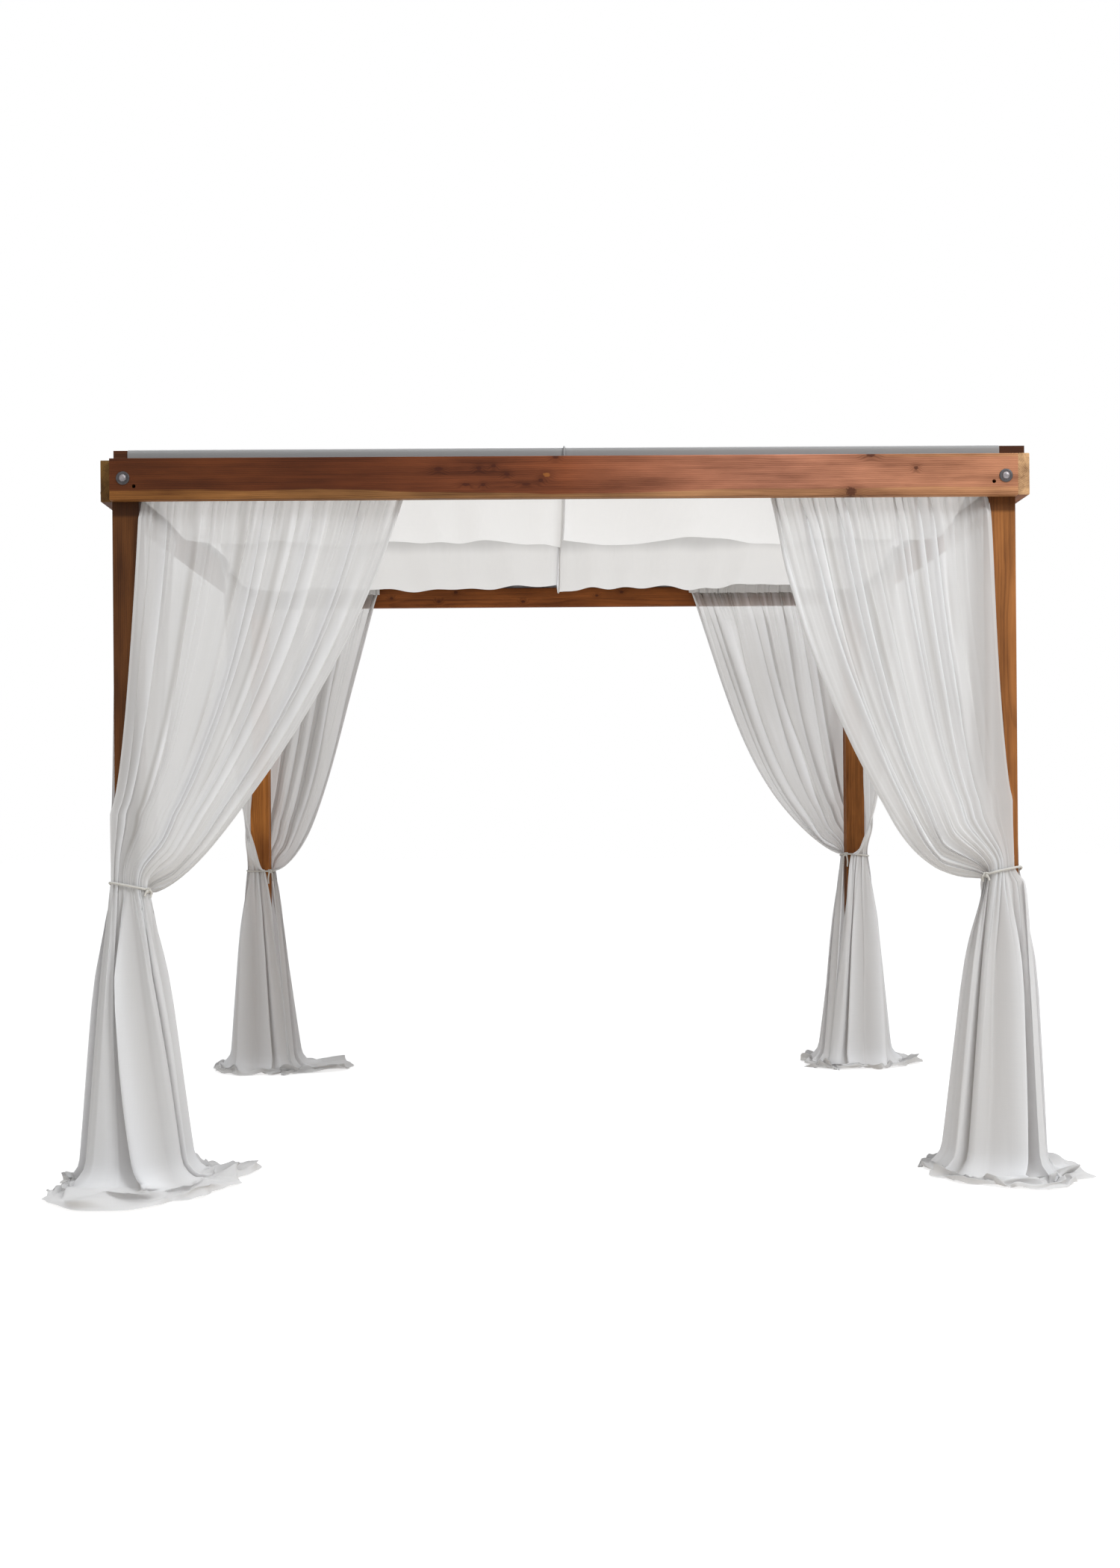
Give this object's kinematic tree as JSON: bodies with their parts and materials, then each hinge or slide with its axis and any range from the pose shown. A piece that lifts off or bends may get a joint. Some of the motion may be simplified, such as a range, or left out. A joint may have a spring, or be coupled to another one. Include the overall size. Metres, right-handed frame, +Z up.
{
  "type": "draped cabana",
  "caption": "Open square timber cabana with posts, bolted beams and cross battens, tied sheer curtains at every corner and a swagged cloth ceiling.",
  "frame": {"origin": "on the ground, at the middle of the cabana", "axes": "+X to the right, +Y from the front to the back, +Z up, seen from the front"},
  "size_m": [3.5615, 3.884, 2.4843],
  "materials": {
    "post_wood": "brown stained softwood",
    "beam_wood": "red-brown stained softwood with paler sapwood",
    "batten_wood": "dark stained softwood",
    "rod_metal": "white enamelled tube",
    "curtain_cloth": "sheer white voile",
    "ceiling_cloth": "white cotton sheeting",
    "tie_cord": "off-white cotton cord"
  },
  "bodies": {
    "root": {"front_beam": "beam_wood", "back_beam": "beam_wood", "left_beam": "beam_wood", "right_beam": "beam_wood", "front_batten": "batten_wood", "middle_batten": "batten_wood", "back_batten": "batten_wood", "front_rod": "rod_metal", "back_rod": "rod_metal", "left_rod": "rod_metal", "right_rod": "rod_metal", "ceiling_left": "ceiling_cloth", "ceiling_right": "ceiling_cloth", "front_left_post": "post_wood", "front_left_front_curtain": "curtain_cloth", "front_left_side_curtain": "curtain_cloth", "front_left_tie": "tie_cord", "front_right_post": "post_wood", "front_right_front_curtain": "curtain_cloth", "front_right_side_curtain": "curtain_cloth", "front_right_tie": "tie_cord", "back_left_post": "post_wood", "back_left_back_curtain": "curtain_cloth", "back_left_side_curtain": "curtain_cloth", "back_left_tie": "tie_cord", "back_right_post": "post_wood", "back_right_back_curtain": "curtain_cloth", "back_right_side_curtain": "curtain_cloth", "back_right_tie": "tie_cord"}
  },
  "joints": []
}
